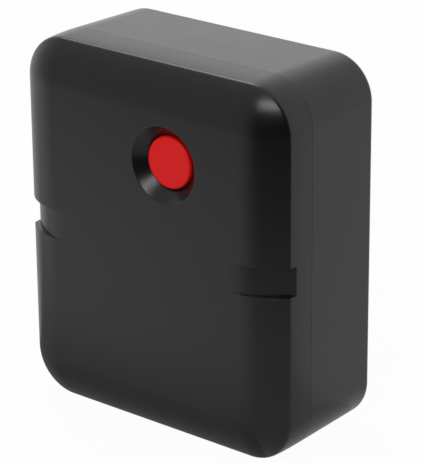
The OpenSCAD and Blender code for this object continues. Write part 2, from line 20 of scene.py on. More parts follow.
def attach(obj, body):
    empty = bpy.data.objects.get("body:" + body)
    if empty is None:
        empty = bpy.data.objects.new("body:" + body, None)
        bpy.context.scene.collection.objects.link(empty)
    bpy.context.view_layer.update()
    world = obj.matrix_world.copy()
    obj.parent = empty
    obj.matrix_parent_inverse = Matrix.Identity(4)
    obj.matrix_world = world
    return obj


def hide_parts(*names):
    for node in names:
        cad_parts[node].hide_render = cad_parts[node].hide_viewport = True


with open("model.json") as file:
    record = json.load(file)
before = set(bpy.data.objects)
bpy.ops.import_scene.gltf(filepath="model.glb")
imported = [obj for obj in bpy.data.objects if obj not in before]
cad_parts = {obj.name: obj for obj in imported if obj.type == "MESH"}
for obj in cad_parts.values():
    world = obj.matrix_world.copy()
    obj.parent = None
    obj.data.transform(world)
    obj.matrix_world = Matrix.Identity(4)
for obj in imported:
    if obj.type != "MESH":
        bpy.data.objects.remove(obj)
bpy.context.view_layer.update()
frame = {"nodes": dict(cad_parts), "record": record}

LOG = logging.getLogger("tracker")
MM = 0.001
# In metres: points closer than the first are welded, and edges shorter than the second are dissolved
WELD = 1e-6
SLIVER = WELD / 4
# A length in mm that counts as none
TINY = 1e-6
# How far from a corner of 45 degrees a rounding meets its lines, over its radius
EIGHTH = math.tan(math.radians(22.5))

Tree = bpy.types.NodeTree
Socket = bpy.types.NodeSocket
Pair = tuple[float, float]
Triple = tuple[float, float, float]


def srgb(code: str) -> tuple[float, float, float, float]:
    """Turns an sRGB hex colour into Blender's linear colour.

    Args:
        code: The colour, such as "#1b1c1e".

    Returns:
        Linear red, green and blue, and an alpha of 1.
    """
    part = np.array([int(code[start : start + 2], 16) for start in (1, 3, 5)]) / 255
    linear = np.where(part <= 0.04045, part / 12.92, ((part + 0.055) / 1.055) ** 2.4)
    return (*linear.tolist(), 1.0)


def stacked(*parts: float | np.ndarray) -> np.ndarray:
    """Points from their coordinates, which are first spread to one shape."""
    return np.stack(np.broadcast_arrays(*parts), axis=-1)


def full_turn(steps: int) -> np.ndarray:
    """Equal angles once round, in radians, without the last."""
    return np.linspace(0, math.tau, steps, endpoint=False)


def mirrored(x: float, heights: tuple[float, ...]) -> list[Pair]:
    """Places left and right of the middle at each height, as x and z."""
    return [(side * x, z) for z in heights for side in (-1, 1)]


def facing_arc(inset: float, depth: float, radius: float, start: float, end: float,
               steps: int) -> np.ndarray:
    """An arc in a section, such as a rounding.

    A point is the centre less the radius times (sin, cos) of an angle, so that an angle of 0 faces the
    front, 90 degrees faces outwards and 180 degrees faces the back.

    Args:
        inset: First coordinate of the centre: how far inside the side it lies, or its radius, in mm.
        depth: Second coordinate of the centre: its depth or y, in mm.
        radius: Radius of the arc, in mm.
        start: First angle, in degrees.
        end: Last angle, in degrees.
        steps: Number of equal steps between them.

    Returns:
        Points as rows of the two coordinates.
    """
    angle = np.radians(np.linspace(start, end, steps + 1))
    return stacked(inset - radius * np.sin(angle), depth - radius * np.cos(angle))


def turned(profile: np.ndarray, angles: np.ndarray, x: float, z: float) -> np.ndarray:
    """A surface of revolution about an axis that runs front to back.

    A point is the axis plus its radius times (cos, sin) of the angle, at its own y.

    Args:
        profile: Rows of radius and y, in mm.
        angles: Angles round the axis, in radians.
        x: Where the axis is, to the right.
        z: Where the axis is, up.

    Returns:
        A grid of points, angles by profile points by 3.
    """
    radius, turn = profile[:, 0], angles[:, None]
    return stacked(x + radius * np.cos(turn), profile[:, 1], z + radius * np.sin(turn))


def ring_tile(loop: np.ndarray, angle: np.ndarray, x: float, z: float, radii: list[float],
              y: float) -> np.ndarray:
    """A flat tile between a round hole and the loop of points that surrounds it.

    Each point of the loop is joined by a straight line to the point of each ring at its angle.

    Args:
        loop: Rows of x and z, in order round the hole.
        angle: Angle of each point's place on the rings, in radians.
        x: Middle of the hole, to the right.
        z: Middle of the hole, up.
        radii: Radii of the rings, the hole's own first.
        y: Where the tile lies.

    Returns:
        A grid of points, angles by rings by 3.
    """
    rings = turned(stacked(np.array(radii), y), angle, x, z)
    edge = stacked(loop[:, 0], y, loop[:, 1])[:, None, :]
    return np.concatenate([rings, edge], axis=1)


def grid_quads(rows: int, columns: int, close_rows: bool = False, close_columns: bool = False) -> np.ndarray:
    """The quads between neighbouring points of a grid.

    Args:
        rows: Number of rows of points.
        columns: Number of points in a row.
        close_rows: Whether the last row joins the first.
        close_columns: Whether the last column joins the first.

    Returns:
        An array of cells by 4 point numbers, row after row.
    """
    row = np.arange(rows if close_rows else rows - 1)[:, None]
    column = np.arange(columns if close_columns else columns - 1)[None, :]
    above, beside = (row + 1) % rows, (column + 1) % columns
    corners = stacked(row * columns + column, row * columns + beside, above * columns + beside,
                      above * columns + column)
    return corners.reshape(-1, 4)


def placed(name: str, data: bpy.types.ID) -> bpy.types.Object:
    """Makes an object and links it to the scene.

    Args:
        name: Name of the object.
        data: Its mesh, lamp or camera.

    Returns:
        The object, at the origin.
    """
    made = bpy.data.objects.new(name, data)
    bpy.context.scene.collection.objects.link(made)
    return made


class Shell:
    """Patches of one piece, gathered in millimetres and welded into one closed mesh in metres."""

    def __init__(self) -> None:
        """Starts with no patch."""
        self.points: list[np.ndarray] = []
        self.quads: list[np.ndarray] = []
        self.count = 0

    def add(self, grid: np.ndarray, close_rows: bool = False, close_columns: bool = False,
            keep: np.ndarray | None = None) -> None:
        """Adds a grid of points as a patch.

        Args:
            grid: Points, rows by columns by 3, in mm.
            close_rows: Whether the last row joins the first.
            close_columns: Whether the last column joins the first.
            keep: Which cells are made, as a flat array of truths; all of them where it is left out.
        """
        quads = grid_quads(grid.shape[0], grid.shape[1], close_rows, close_columns)
        if keep is not None:
            quads = quads[keep]
        self.quads.append(quads + self.count)
        self.points.append(grid.reshape(-1, 3))
        self.count += grid.shape[0] * grid.shape[1]

    def build(self, name: str, sharp: float = 38.0) -> bpy.types.Object:
        """Welds the patches, turns their faces outwards and makes the object.

        Args:
            name: Name of the piece.
            sharp: Angle in degrees past which an edge stays crisp.

        Returns:
            The object, at the origin.
        """
        mesh = bpy.data.meshes.new(name)
        mesh.from_pydata(np.concatenate(self.points) * MM, [], np.concatenate(self.quads))
        work = bmesh.new()
        work.from_mesh(mesh)
        bmesh.ops.remove_doubles(work, verts=work.verts, dist=WELD)
        bmesh.ops.dissolve_degenerate(work, edges=work.edges, dist=SLIVER)
        bmesh.ops.recalc_face_normals(work, faces=work.faces)
        open_edges = sum(1 for edge in work.edges if not edge.is_manifold)
        work.to_mesh(mesh)
        work.free()
        mesh.shade_smooth()
        mesh.set_sharp_from_angle(angle=math.radians(sharp))
        LOG.info("%s: %d faces, %d open edges", name, len(mesh.polygons), open_edges)
        return placed(name, mesh)


@dataclass(frozen=True)
class Outline:
    """The rounded rectangle of the housing seen from the front, and its screws, in mm."""

    half_width: float = 31.7
    height: float = 75.0
    corner: float = 9.2
    corner_steps: int = 26
    screw_x: float = 24.9
    screw_z: Pair = (6.8, 68.2)

    @property
    def axis_x(self) -> float:
        """How far the corner axes lie from the middle."""
        return self.half_width - self.corner

    @property
    def axis_high(self) -> float:
        """Height of the upper corner axes."""
        return self.height - self.corner

    @property
    def screws(self) -> list[Pair]:
        """Where the four screws lie, as x and z."""
        return mirrored(self.screw_x, self.screw_z)

    def swept(self, rows: np.ndarray, columns: np.ndarray, low: np.ndarray, inset: np.ndarray,
              y: np.ndarray, sides: tuple[np.ndarray, np.ndarray] | None = None) -> np.ndarray:
        """Carries a section once round the outline.

        A point is its station on the lines that join the corner axes, plus (cos, sin) of the station's
        direction times what the corner radius leaves of the section's inset. The stations run up the
        right side, round the corner, over the top to the left, down the left side and back under.

        Args:
            rows: Heights of the stations on the sides, stations by section points.
            columns: Places of the stations on the top and base, from left to right.
            low: Height of the lower corner axes at each section point.
            inset: Inset of each section point.
            y: Place of each section point, front to back.
            sides: Inset and y on the two sides, stations by section points, where they differ.

        Returns:
            A grid of points, stations by section points by 3.
        """
        def stretch(x: float | np.ndarray, z: float | np.ndarray, angle: np.ndarray, out: np.ndarray,
                    back: np.ndarray) -> np.ndarray:
            """Points of one stretch from its stations, directions in degrees, reach and y."""
            turn = np.radians(angle)[:, None]
            return stacked(x + np.cos(turn) * out, back, z + np.sin(turn) * out)

        arc = np.linspace(0, 90, self.corner_steps + 1)[1:-1]
        reach = np.maximum(self.corner - inset, 0)
        side_inset, side_y = sides or (np.broadcast_to(part, rows.shape) for part in (inset, y))
        side = self.corner - side_inset
        upright, level = np.zeros(len(rows)), np.zeros(len(columns))
        right, high, across = self.axis_x, self.axis_high, columns[:, None]
        return np.concatenate([
            stretch(right, rows, upright, side, side_y),
            stretch(right, high, arc, reach, y),
            stretch(across[::-1], high, level + 90, reach, y),
            stretch(-right, high, arc + 90, reach, y),
            stretch(-right, rows[::-1], upright + 180, side[::-1], side_y[::-1]),
            stretch(-right, low, arc + 180, reach, y),
            stretch(across, low, level + 270, reach, y),
            stretch(right, low, arc + 270, reach, y),
        ])


@dataclass(frozen=True)
class StrapNotch:
    """The channel across each front edge that a strap lies in, in mm."""

    low: float = 35.1
    high: float = 40.9
    floor_inset: float = 4.9
    floor_drop: float = 5.9
    blend: float = 13.5
    lip: float = 0.25
    edge: float = 0.12
    root: float = 0.03
    hold: float = 0.02
    turn_steps: int = 5
    floor_margin: float = 1.2
    floor_rows: int = 5

    def onto_floor(self, section: np.ndarray, offset: float, side: float) -> np.ndarray:
        """Moves the section's points that lie over the notch floor straight down onto it.

        The floor is an arc that leaves the front face, a sloping line, and a rounded lip at the side. A
        point over the arc or the lip moves towards its centre, and one over the line moves square to it.

        Args:
            section: Rows of inset and depth.
            offset: How far the floor is moved into the housing.
            side: Inset of the side wall that the floor runs out to.

        Returns:
            The moved points.
        """
        slope = math.atan(self.floor_drop / self.floor_inset)
        centre = np.array([self.floor_inset + self.blend * math.tan(slope / 2), self.blend])
        radius = self.blend - offset
        along = np.array([-math.cos(slope), math.sin(slope)])
        normal = np.array([-math.sin(slope), -math.cos(slope)])
        start = centre + radius * normal
        place = (section - start) @ along
        over = (section - start) @ normal
        lip_place = (start[0] + math.sin(slope) * self.lip - side - self.lip) / math.cos(slope)
        lip_centre = start + lip_place * along - self.lip * normal

        def drawn(middle: np.ndarray, reach: float) -> np.ndarray:
            """Points outside a circle, moved straight onto it."""
            length = np.maximum(np.linalg.norm(section - middle, axis=1, keepdims=True), TINY)
            return np.where(length > reach, middle + (section - middle) * reach / length, section)

        on_line = section - np.maximum(over, 0)[:, None] * normal
        moved = np.where((place <= 0)[:, None], drawn(centre, radius), on_line)
        moved = np.where((place >= lip_place)[:, None], drawn(lip_centre, self.lip), moved)
        still = (section[:, 0] >= centre[0]) | ((place >= lip_place) & (section[:, 1] >= lip_centre[1]))
        return np.where(still[:, None], section, moved)

    def rows(self) -> np.ndarray:
        """Stations across the notch, from below it to above it.

        Each has a height and two factors. At a station, the share of the way from the outer surface to
        the floor is the first factor plus the second over the local depth: the rounded upper edge takes
        radius times (1 - cos), and the rounded root takes 1 less radius times (1 - sin) over the depth.

        Returns:
            Rows of height, first factor and second factor.
        """
        turn = np.radians(np.linspace(0, 90, self.turn_steps + 1))
        below = np.concatenate([
            [[-self.edge - self.hold, 0.0, 0.0]],
            stacked(self.edge * (np.sin(turn) - 1), 0.0, self.edge * (1 - np.cos(turn))),
            stacked(self.root * (1 - np.cos(turn)), 1.0, -self.root * (1 - np.sin(turn))),
            [[self.root + self.hold, 1.0, 0.0]]])
        above = below[::-1] * [-1, 1, 1]
        inner = np.linspace(self.low + self.floor_margin, self.high - self.floor_margin, self.floor_rows)
        return np.concatenate([below + [self.low, 0, 0], stacked(inner, 1.0, 0.0), above + [self.high, 0, 0]])


@dataclass(frozen=True)
class ButtonRecess:
    """The conical recess round the button and the collar that guides it, in mm."""

    x: float = 5.1
    z: float = 56.3
    mouth: float = 7.6
    bore: float = 5.3
    cone_depth: float = 2.3
    cone_steps: int = 8
    guide: float = 1.8
    collar: float = 9.1
    mouth_edge: float = 0.22
    bore_edge: float = 0.16
    edge_steps: int = 4
    chamfer: float = 0.1
    hold: float = 0.06
    tile: float = 9.5
    tile_steps: int = 36

    @property
    def rim(self) -> float:
        """Radius at which the mouth's rounding meets the front face."""
        return self.mouth + self.mouth_edge * EIGHTH

    def lines(self, centre: float) -> np.ndarray:
        """Grid lines across the square tile, where rays at equal angles meet its edges."""
        angle = np.radians(np.linspace(-45, 45, self.tile_steps + 1))
        return centre + self.tile * np.tan(angle)

    def section(self, front: float, ceiling: float) -> np.ndarray:
        """Radius and y from the front face down the cone and the bore, round the collar to the ceiling.

        Args:
            front: y of the front face.
            ceiling: y of the inner face of the front wall.

        Returns:
            Rows of radius and y.
        """
        mouth = facing_arc(self.rim, front + self.mouth_edge, self.mouth_edge, 0, 45, self.edge_steps)
        rim_y = front + self.cone_depth + self.bore_edge * EIGHTH
        rim = facing_arc(self.bore + self.bore_edge, rim_y, self.bore_edge, 45, 90, self.edge_steps)
        cone = np.linspace(mouth[-1], rim[0], self.cone_steps + 1)[1:-1]
        foot = front + self.cone_depth + self.guide
        rest = [[self.bore, foot - self.chamfer], [self.bore + self.chamfer, foot],
                [self.collar, foot], [self.collar, ceiling]]
        return np.concatenate([mouth, cone, rim, rest])


@dataclass(frozen=True)
class Half:
    """What both halves of the housing share: the outline, the wall and the parting line, in mm."""

    outline: Outline = Outline()
    seam: float = -4.836
    half_gap: float = 0.012
    gap_depth: float = 0.6
    lip: float = 0.045
    lip_steps: int = 4
    hold: float = 0.06
    wall: float = 2.0
    land: float = 4.4


@dataclass(frozen=True)
class FrontCover(Half):
    """The dished front half of the housing."""

    notch: StrapNotch = StrapNotch()
    recess: ButtonRecess = ButtonRecess()
    front: float = -15.25
    edge_radius: float = 12.15
    edge_steps: int = 40
    crease_round: float = 1.3
    crease_steps: int = 10
    crease_inset: float = 0.16
    wall_power: float = 3.0
    fine_start: float = 0.1
    fine_end: float = 7.2
    fine_step: float = 0.12
    coarse_start: float = 7.4
    coarse_points: int = 7
    land_thickness: float = 2.2
    inner_steps: int = 24
    flat_inset: float = 11.5
    flat_steps: int = 2
    lower_steps: int = 13
    left_steps: int = 7
    few_steps: int = 4
    shift_start: float = 28.0
    boss_radius: float = 4.0
    insert_radius: float = 2.1
    post_x: float = 16.5
    post_z: Pair = (7.6, 64.5)
    post_radius: float = 2.3
    post_hole: float = 1.02
    post_depth: float = 7.6
    tube_steps: int = 40

    @property
    def seam_depth(self) -> float:
        """How far the parting line lies behind the front face."""
        return self.seam - self.front

    def outer_section(self) -> np.ndarray:
        """Inset and depth from the flat of the front face, over the rounded edge and the crease, to the seam.

        Behind the crease, the wall's inset is the crease's own times the share of the way that is left to
        the lip, raised to a power. Its rows are fine as far as the strap notch reaches.

        Returns:
            Rows of inset and depth.
        """
        corner, bend = self.outline.corner, self.crease_round
        turn = math.asin((corner - self.crease_inset - bend) / (self.edge_radius - bend))
        crease_depth = self.edge_radius - (self.edge_radius - bend) * math.cos(turn)
        lip_depth = self.seam_depth - self.half_gap - self.lip
        lean = math.degrees(math.atan(self.wall_power * self.crease_inset / (lip_depth - crease_depth)))
        turn = math.degrees(turn)
        flat = stacked(np.linspace(self.flat_inset, corner, self.flat_steps + 1)[:-1], 0.0)
        arc = facing_arc(corner, self.edge_radius, self.edge_radius, 0, turn, self.edge_steps)
        inset = self.crease_inset + bend
        crease = facing_arc(inset, crease_depth, bend, turn, 90 - lean, self.crease_steps)[1:]
        near, start = crease[-1]
        depth = np.concatenate([np.arange(start + self.fine_start, self.fine_end, self.fine_step),
                                np.linspace(self.coarse_start, lip_depth - self.hold, self.coarse_points),
                                [lip_depth]])
        wall = stacked(near * ((lip_depth - depth) / (lip_depth - start)) ** self.wall_power, depth)
        lip = facing_arc(self.lip, lip_depth, self.lip, 90, 180, self.lip_steps)[1:]
        seam = [[self.gap_depth, self.seam_depth - self.half_gap], [self.gap_depth, self.seam_depth]]
        return np.concatenate([flat, arc, crease, wall, lip, seam])

    def inner_section(self) -> np.ndarray:
        """Inset and depth from the seam's land up the inside of the wall to the ceiling.

        Returns:
            Rows of inset and depth.
        """
        corner, thick = self.outline.corner, self.wall
        radius = self.edge_radius - thick
        turn = math.degrees(math.asin((corner - thick) / radius))
        shelf = self.seam_depth - self.land_thickness
        land = [[self.land, self.seam_depth], [self.land, shelf], [thick, shelf]]
        arc = facing_arc(corner, self.edge_radius, radius, turn, 0, self.inner_steps)
        wall = stacked(thick, np.linspace(shelf, arc[0, 1], self.inner_steps)[1:-1])
        flat = stacked(np.linspace(corner, self.flat_inset, self.flat_steps + 1)[1:], thick)
        return np.concatenate([land, wall, arc, flat])

    def stations(self) -> tuple[np.ndarray, np.ndarray]:
        """The stations on the sides, and the places of those across the flat of the front.

        Returns:
            Rows of height and the notch's two factors, and places from left to right.
        """
        notch_rows = self.notch.rows()
        tile_x, tile_z = self.recess.lines(self.recess.x), self.recess.lines(self.recess.z)
        below = np.linspace(self.outline.corner, notch_rows[0, 0], self.lower_steps + 1)[:-1]
        between = np.linspace(notch_rows[-1, 0], tile_z[0], self.few_steps + 1)[1:-1]
        above = np.concatenate([between, tile_z])
        rows = np.concatenate([stacked(below, 0.0, 0.0), notch_rows, stacked(above, 0.0, 0.0)])
        flat_x = self.outline.half_width - self.flat_inset
        left = np.linspace(-flat_x, tile_x[0], self.left_steps + 1)[:-1]
        right = np.linspace(tile_x[-1], flat_x, self.few_steps + 1)[1:]
        return rows, np.concatenate([left, tile_x, right])

    def build(self) -> bpy.types.Object:
        """Makes the cover as one closed shell, with its recess, bosses and posts.

        Returns:
            The cover.
        """
        outline, notch, recess = self.outline, self.notch, self.recess
        outer, inner = self.outer_section(), self.inner_section()
        section = np.concatenate([outer, inner])
        stations, across = self.stations()
        height, first, second = (stations[:, part, None] for part in range(3))
        # The inside of the notch is wider by a wall on both sides, so its stations move apart there
        knots = [self.shift_start, notch.low - notch.edge, notch.low + notch.root,
                 notch.high - notch.root, notch.high + notch.edge, recess.z - recess.tile]
        shift = np.interp(height, knots, self.wall * np.array([0, -1, -1, 1, 1, 0]))
        rows = height + np.where(np.arange(len(section)) >= len(outer), shift, 0)
        behind = outer[len(outer) // 2 :]
        side = float(np.interp(notch.floor_drop, behind[:, 1], behind[:, 0]))
        floor = np.concatenate([notch.onto_floor(outer, 0, side),
                                notch.onto_floor(inner, self.wall, self.wall)])
        depth = np.maximum(np.linalg.norm(floor - section, axis=1), notch.edge + notch.root)
        sides = section + (floor - section) * (first + second / depth)[..., None]
        middle = (outline.axis_x + across[-1]) / 2
        columns = np.concatenate([[-outline.axis_x, -middle], across, [middle, outline.axis_x]])
        band = outline.swept(rows, columns, np.full(len(section), outline.corner), section[:, 0],
                             self.front + section[:, 1], (sides[..., 0], self.front + sides[..., 1]))
        ceiling = self.front + self.wall
        shell = Shell()
        shell.add(band, close_rows=True)
        self.add_flat(shell, across, rows[:, 0], self.front, [recess.rim, recess.rim + recess.hold])
        self.add_flat(shell, across, rows[:, -1], ceiling, [recess.collar])
        cone = recess.section(self.front, ceiling)
        shell.add(turned(cone, full_turn(4 * recess.tile_steps), recess.x, recess.z), close_rows=True)
        for x, z in outline.screws:
            self.add_tube(shell, x, z, self.insert_radius, self.boss_radius, self.seam_depth)
        for x, z in mirrored(self.post_x, self.post_z):
            self.add_tube(shell, x, z, self.post_hole, self.post_radius, self.post_depth)
        return shell.build("front_cover_moulding")

    def add_flat(self, shell: Shell, x: np.ndarray, z: np.ndarray, y: float, radii: list[float]) -> None:
        """Adds a flat of the front wall, with the square tile round the button left to its rings.

        Args:
            shell: The shell that takes the patches.
            x: Grid lines across.
            z: Grid lines up.
            y: Where the flat lies.
            radii: Radii of the tile's rings.
        """
        recess = self.recess
        mid_x, mid_z = (x[1:] + x[:-1]) / 2, (z[1:] + z[:-1]) / 2
        inside_x, inside_z = abs(mid_x - recess.x) < recess.tile, abs(mid_z - recess.z) < recess.tile
        shell.add(stacked(x, y, z[:, None]), keep=~(inside_z[:, None] & inside_x).ravel())
        on_x = x[abs(x - recess.x) < recess.tile + TINY]
        on_z = z[abs(z - recess.z) < recess.tile + TINY]
        loop = np.concatenate([edge for way in (recess.tile, -recess.tile)
                               for edge in (stacked(on_x, recess.z + way), stacked(recess.x + way, on_z))])
        angle = np.arctan2(loop[:, 1] - recess.z, loop[:, 0] - recess.x)
        order = np.argsort(angle)
        shell.add(ring_tile(loop[order], angle[order], recess.x, recess.z, radii, y), close_rows=True)

    def add_tube(self, shell: Shell, x: float, z: float, hole: float, radius: float, depth: float) -> None:
        """Adds a boss that starts within the front wall, follows its dished form, and ends at a depth.

        The root lies on a dish through the middle of the wall: its depth is the edge radius, less the root
        of the dish's own radius squared less the square of the way past the corner axes.

        Args:
            shell: The shell that takes the patch.
            x: Middle of the boss, to the right.
            z: Middle of the boss, up.
            hole: Radius of its hole.
            radius: Its outer radius.
            depth: How far behind the front face it ends.
        """
        outline, far, half_wall = self.outline, self.front + depth, self.wall / 2
        profile = np.array([[hole, far], [radius, far], [radius, far], [hole, far]])
        grid = turned(profile, full_turn(self.tube_steps), x, z)
        root = grid[:, 2:]
        past_x = np.maximum(abs(root[..., 0]) - outline.axis_x, 0)
        past_z = np.maximum(abs(root[..., 2] - outline.height / 2) - outline.height / 2 + outline.corner, 0)
        past = np.minimum(np.hypot(past_x, past_z), outline.corner - half_wall)
        root[..., 1] = self.front + self.edge_radius - np.sqrt((self.edge_radius - half_wall) ** 2 - past**2)
        shell.add(grid, close_rows=True, close_columns=True)


@dataclass(frozen=True)
class RearHousing(Half):
    """The deep rear half of the housing, drawn in towards its back."""

    back: float = 15.25
    draw_in: float = 0.7
    back_round: float = 1.2
    back_steps: int = 8
    side_steps: int = 25
    side_hold: float = 0.7
    land_thickness: float = 3.0
    groove: Pair = (1.73, 3.27)
    groove_depth: float = 1.5
    tile_x: float = 16.5
    tile_low: float = 14.5
    tile_high: float = 60.5
    tile_steps: int = 14
    row_steps: tuple[int, int, int] = (13, 15, 12)
    column_steps: int = 11
    counterbore: float = 3.1
    counterbore_depth: float = 3.4
    counterbore_edge: float = 0.2
    edge_steps: int = 4
    seat_chamfer: float = 0.15
    hole: float = 1.75
    boss_foot: float = 3.4
    boss_radius: float = 3.9

    def section(self) -> np.ndarray:
        """Inset and y from the flat of the back, round its edge, along the side to the seam, and inside.

        Returns:
            Rows of inset and y.
        """
        bend, top = self.back_round, self.seam + self.half_gap
        corner = facing_arc(bend, self.back - bend, bend, 180, 90, self.back_steps)
        side = np.linspace(self.back - bend, top + self.lip, self.side_steps + 1)[1:-1]
        side = stacked(0.0, np.concatenate([[side[0] + self.side_hold], side, [top + self.lip + self.hold]]))
        lip = facing_arc(self.lip, top + self.lip, self.lip, 90, 0, self.lip_steps)
        near, far = self.groove
        deep, shelf = self.seam + self.groove_depth, self.seam + self.land_thickness
        inside = [[self.gap_depth, top], [self.gap_depth, self.seam], [near, self.seam], [near, deep],
                  [far, deep], [far, self.seam], [self.land, self.seam], [self.land, shelf],
                  [self.wall, shelf], [self.wall, self.back - self.wall]]
        return np.concatenate([[[bend + self.hold, self.back]], corner, side, lip, inside])

    def build(self) -> bpy.types.Object:
        """Makes the housing as one closed shell, with the counterbored screw bosses.

        Returns:
            The housing.
        """
        outline, section = self.outline, self.section()
        inset, y = section[:, 0], section[:, 1]
        drawn = np.maximum(self.draw_in * (y - self.seam) / (self.back - self.seam), 0)
        ends = [outline.corner, self.tile_low, self.tile_high, outline.axis_high]
        counts = [steps + 1 for steps in self.row_steps]
        spans = [np.linspace(*span)[:-1] for span in zip(ends, ends[1:], counts)]
        heights = np.concatenate([*spans, ends[-1:]])
        # Below the lower tile line the stations stretch down with the corner axes
        stretch = np.clip((self.tile_low - heights) / (self.tile_low - outline.corner), 0, 1)
        rows = heights[:, None] - stretch[:, None] * drawn
        fine = np.linspace(self.tile_x, outline.axis_x, self.tile_steps + 1)
        wide = np.linspace(-self.tile_x, self.tile_x, self.column_steps + 1)[1:-1]
        columns = np.concatenate([-fine[::-1], wide, fine])
        band = outline.swept(rows, columns, outline.corner - drawn, inset + drawn, y)
        shell = Shell()
        shell.add(band, close_rows=True)
        self.add_flat(shell, band[:, 0])
        self.add_flat(shell, band[:, -1])
        rim = self.counterbore + self.counterbore_edge
        inner = self.back - self.wall
        loops = zip(outline.screws, self.tile_loops(band[:, 0]), self.tile_loops(band[:, -1]))
        for (x, z), over, under in loops:
            angle = np.arctan2(over[:, 1] - z, over[:, 0] - x)
            order = np.argsort(angle)
            angle, over, under = angle[order], over[order], under[order]
            shell.add(ring_tile(over, angle, x, z, [rim, rim + self.hold], self.back), close_rows=True)
            shell.add(turned(self.bore_section(), angle, x, z), close_rows=True)
            shell.add(ring_tile(under, angle, x, z, [self.boss_foot], inner), close_rows=True)
        return shell.build("rear_housing_moulding")

    def tile_loops(self, loop: np.ndarray) -> list[np.ndarray]:
        """The points round the tile of each screw: the corner of a loop and the two straight lines inside it.

        Args:
            loop: Points of the loop round the housing, stations by 3.

        Returns:
            For each screw, rows of x and z, unordered.
        """
        x, z = loop[:, 0], loop[:, 2]
        outward = np.linspace(self.tile_x, x.max(), self.tile_steps + 1)
        loops = []
        low, high = self.tile_low, self.tile_high
        for start, end, line in ((z.min(), low, low), (high, z.max(), high)):
            up = np.linspace(start, end, self.tile_steps + 1)
            for side in (-1, 1):
                near = (side * x > self.tile_x - TINY) & (z > start - TINY) & (z < end + TINY)
                loops.append(np.concatenate([loop[near][:, [0, 2]], stacked(side * outward, line),
                                             stacked(side * self.tile_x, up)]))
        return loops

    def add_flat(self, shell: Shell, loop: np.ndarray) -> None:
        """Fills a loop round the housing with a flat, less the tiles of the four screws.

        Args:
            shell: The shell that takes the patches.
            loop: Points of the loop, stations by 3.
        """
        x, y, z = loop[:, 0], loop[0, 1], loop[:, 2]
        right, low, high, count = self.tile_x, self.tile_low, self.tile_high, self.tile_steps + 1
        side = np.unique(np.round(z[(x > self.outline.axis_x) & (z > low - TINY) & (z < high + TINY)], 6))
        span = np.unique(np.round(x[(abs(x) < right + TINY) & (z > high)], 6))
        outward = np.linspace(right, x.max(), count)
        for over, up in ((span, side), (outward, side), (-outward, side),
                         (span, np.linspace(z.min(), low, count)), (span, np.linspace(high, z.max(), count))):
            shell.add(stacked(over, y, up[:, None]))

    def bore_section(self) -> np.ndarray:
        """Radius and y of a screw's place: rounded rim, counterbore, seat, hole, and the boss outside it.

        Returns:
            Rows of radius and y.
        """
        edge, radius, chamfer = self.counterbore_edge, self.counterbore, self.seat_chamfer
        rim = facing_arc(radius + edge, self.back - edge, edge, 180, 90, self.edge_steps)
        seat = self.back - self.counterbore_depth
        rest = [[radius, seat + chamfer], [radius - chamfer, seat], [self.hole, seat], [self.hole, self.seam],
                [self.boss_radius, self.seam], [self.boss_radius, self.seam + self.land_thickness],
                [self.boss_foot, self.back - self.wall]]
        return np.concatenate([rim, rest])


@dataclass(frozen=True)
class PushButton:
    """The red cap that moves in the recess, with the groove of its seal and the pusher behind it."""

    recess: ButtonRecess = ButtonRecess()
    face: float = -13.7
    radius: float = 5.15
    rim: float = 0.55
    rim_steps: int = 8
    rim_hold: float = 0.06
    mid_share: float = 0.6
    foot: float = -10.45
    guide: float = -11.15
    flange: float = 6.15
    thickness: float = 1.2
    seal: Pair = (-12.55, -11.55)
    seal_depth: float = 0.75
    skirt: float = 0.8
    pusher: float = 1.5
    pusher_end: float = -10.35
    turn_steps: int = 128

    def build(self) -> bpy.types.Object:
        """Makes the cap as one turned shell: rounded face, grooved skirt, flange, hollow and pusher.

        Returns:
            The cap.
        """
        core, neck, hollow = self.radius - self.rim, self.radius - self.seal_depth, self.face + self.thickness
        near, far = self.seal
        inner = neck - self.skirt
        face = [[0.0, self.face], [core * self.mid_share, self.face], [core - self.rim_hold, self.face]]
        rim = facing_arc(core, self.face + self.rim, self.rim, 0, -90, self.rim_steps)
        rest = [[self.radius, near], [neck, near], [neck, far], [self.radius, far], [self.radius, self.guide],
                [self.flange, self.guide], [self.flange, self.foot], [inner, self.foot], [inner, hollow],
                [self.pusher, hollow], [self.pusher, self.pusher_end], [0.0, self.pusher_end]]
        section = np.concatenate([face, rim, rest])
        shell = Shell()
        shell.add(turned(section, full_turn(self.turn_steps), self.recess.x, self.recess.z), close_rows=True)
        return shell.build("button_cap_moulding")


